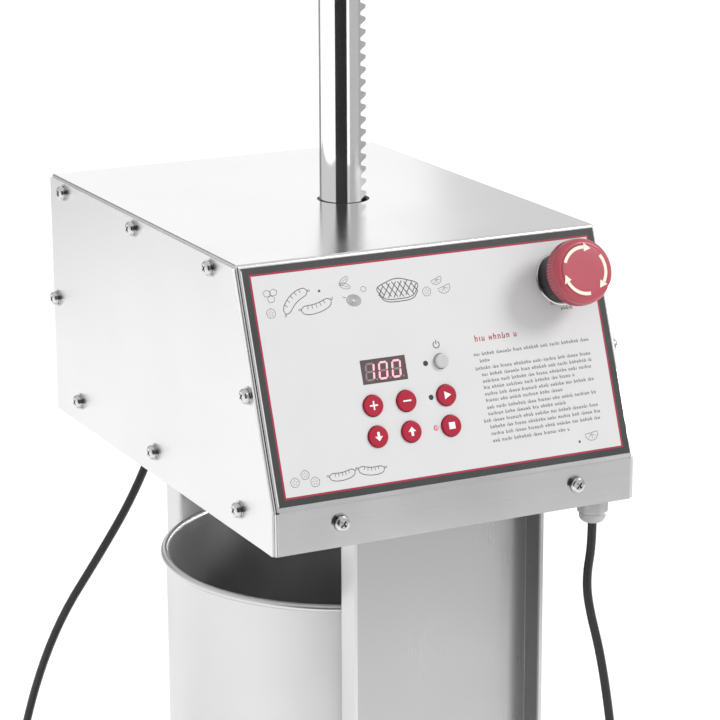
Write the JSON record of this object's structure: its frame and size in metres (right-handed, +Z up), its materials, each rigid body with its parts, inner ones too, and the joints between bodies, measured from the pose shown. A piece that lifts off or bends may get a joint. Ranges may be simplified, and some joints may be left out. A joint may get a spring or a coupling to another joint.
{
  "type": "sausage stuffer",
  "caption": "Upright electric sausage stuffer: a toothed rod drives a plunger into a steel cylinder under a sloped control head, with a filling tube and foot pedal.",
  "frame": {"origin": "on the table, under the centre of the machine's bounding box without its cables and pedal", "axes": "+Z up; the sloped control panel faces -Y; the filling tube points to -X"},
  "size_m": [0.48, 0.6474, 1.137],
  "materials": {
    "brushed_stainless": "brushed",
    "satin_stainless": "satin",
    "polished_steel": "polished",
    "gear_steel": "machined",
    "cast_aluminium": "satin",
    "black_plastic": "matte",
    "black_cable": "satin",
    "red_plastic": "satin",
    "estop_red": "satin",
    "white_plastic": "satin",
    "grey_plastic": "matte",
    "printed_overlay": "satin",
    "display_window": "gloss",
    "circuit_board": "satin",
    "rubber": "matte",
    "food_polymer": "satin",
    "led_lens": "gloss"
  },
  "bodies": {
    "frame": {"base_tray": "satin_stainless", "board_standoffs": "polished_steel", "column_bolts": "polished_steel", "control_board": "circuit_board", "control_overlay": "printed_overlay", "cover_screws": "polished_steel", "cylinder_locator": "satin_stainless", "display_module": "display_window", "drive_plates": "satin_stainless", "estop_bezel": "polished_steel", "estop_collar": "black_plastic", "estop_contact_block": "black_plastic", "front_column": "satin_stainless", "gearbox": "cast_aluminium", "head_cover": "brushed_stainless", "head_floor_plate": "satin_stainless", "indicator_leds": "led_lens", "left_side_panel": "brushed_stainless", "limit_sensors": "polished_steel", "mains_cord": "black_cable", "mains_cord_coil": "black_cable", "mains_gland": "black_plastic", "mains_plug": "black_plastic", "motor": "cast_aluminium", "pedal_base": "black_plastic", "pedal_cord": "black_cable", "pedal_cord_coil": "black_cable", "pedal_gland": "grey_plastic", "pedal_pin": "polished_steel", "power_board": "circuit_board", "rack_guide_bushes": "black_plastic", "rear_column": "satin_stainless", "rear_panel": "brushed_stainless", "right_side_panel": "brushed_stainless", "rubber_feet": "rubber", "shaft_bearings": "polished_steel", "side_panel_screws": "polished_steel"},
    "plunger": {"rack_rod": "polished_steel", "rack_end_stop": "polished_steel", "plunger_disc": "food_polymer", "plunger_seal": "rubber", "plunger_bolt": "polished_steel"},
    "air_valve": {"air_valve": "food_polymer"},
    "pinion": {"drive_pinion": "gear_steel", "pinion_shaft": "gear_steel", "large_gear": "gear_steel"},
    "motor_shaft": {"motor_gear": "gear_steel"},
    "cylinder": {"cylinder_barrel": "satin_stainless", "filling_tube": "satin_stainless"},
    "outlet_nut": {"outlet_nut": "food_polymer"},
    "estop_stem": {"estop_stem": "black_plastic"},
    "estop_mushroom": {"estop_mushroom": "estop_red"},
    "pedal_tread": {"pedal_tread": "black_plastic"},
    "on_off_button": {"on_off_button": "white_plastic"},
    "speed_up_key": {"speed_up_key": "red_plastic"},
    "speed_down_key": {"speed_down_key": "red_plastic"},
    "start_key": {"start_key": "red_plastic"},
    "down_key": {"down_key": "red_plastic"},
    "up_key": {"up_key": "red_plastic"},
    "stop_key": {"stop_key": "red_plastic"}
  },
  "joints": [
    {"name": "plunger_slide", "type": "slide", "parent": "frame", "child": "plunger", "axis": [0, 0, 1], "range_m": [-0.42, 0]},
    {"name": "air_valve_drop", "type": "slide", "parent": "plunger", "child": "air_valve", "axis": [0, 0, 1], "range_m": [-0.002, 0], "stiffness_N_per_m": 60, "springref_m": 0.004},
    {"name": "pinion_spin", "type": "hinge", "parent": "frame", "child": "pinion", "pos_m": [0.1238, 0.0025, 0.601], "axis": [0, 1, 0], "range_deg": [-963, 1]},
    {"name": "motor_shaft_spin", "type": "hinge", "parent": "frame", "child": "motor_shaft", "pos_m": [0.0458, 0.0425, 0.601], "axis": [0, 1, 0], "range_deg": [-1, 3209]},
    {"name": "cylinder_slide_out", "type": "slide", "parent": "frame", "child": "cylinder", "axis": [-1, 0, 0], "range_m": [0, 0.28]},
    {"name": "outlet_nut_turn", "type": "hinge", "parent": "cylinder", "child": "outlet_nut", "pos_m": [-0.058, 0.0025, 0.102], "axis": [-1, 0, 0], "range_deg": [0, 360]},
    {"name": "estop_press", "type": "slide", "parent": "frame", "child": "estop_stem", "axis": [0, 0.9369, -0.3496], "range_m": [0, 0.004]},
    {"name": "estop_twist", "type": "hinge", "parent": "estop_stem", "child": "estop_mushroom", "pos_m": [0.1625, -0.17304, 0.66171], "axis": [0, 0.9369, -0.3496], "range_deg": [0, 35], "stiffness_Nm_per_rad": 0.05, "springref_deg": -5.73},
    {"name": "pedal_press", "type": "hinge", "parent": "frame", "child": "pedal_tread", "pos_m": [0.02, -0.2975, 0.026], "axis": [0, -1, 0], "range_deg": [0, 7], "stiffness_Nm_per_rad": 6, "springref_deg": -6.88},
    {"name": "on_off_press", "type": "slide", "parent": "frame", "child": "on_off_button", "axis": [0, 0.9369, -0.3496], "range_m": [0, 0.0015], "stiffness_N_per_m": 1200, "springref_m": -0.0006},
    {"name": "speed_up_key_press", "type": "slide", "parent": "frame", "child": "speed_up_key", "axis": [0, 0.9369, -0.3496], "range_m": [0, 0.001], "stiffness_N_per_m": 1500, "springref_m": -0.0005},
    {"name": "speed_down_key_press", "type": "slide", "parent": "frame", "child": "speed_down_key", "axis": [0, 0.9369, -0.3496], "range_m": [0, 0.001], "stiffness_N_per_m": 1500, "springref_m": -0.0005},
    {"name": "start_key_press", "type": "slide", "parent": "frame", "child": "start_key", "axis": [0, 0.9369, -0.3496], "range_m": [0, 0.001], "stiffness_N_per_m": 1500, "springref_m": -0.0005},
    {"name": "down_key_press", "type": "slide", "parent": "frame", "child": "down_key", "axis": [0, 0.9369, -0.3496], "range_m": [0, 0.001], "stiffness_N_per_m": 1500, "springref_m": -0.0005},
    {"name": "up_key_press", "type": "slide", "parent": "frame", "child": "up_key", "axis": [0, 0.9369, -0.3496], "range_m": [0, 0.001], "stiffness_N_per_m": 1500, "springref_m": -0.0005},
    {"name": "stop_key_press", "type": "slide", "parent": "frame", "child": "stop_key", "axis": [0, 0.9369, -0.3496], "range_m": [0, 0.001], "stiffness_N_per_m": 1500, "springref_m": -0.0005}
  ],
  "couplings": [
    {"joint": "pinion_spin", "follows": "plunger_slide", "rad_per_m": 40},
    {"joint": "motor_shaft_spin", "follows": "plunger_slide", "rad_per_m": -133.33}
  ]
}
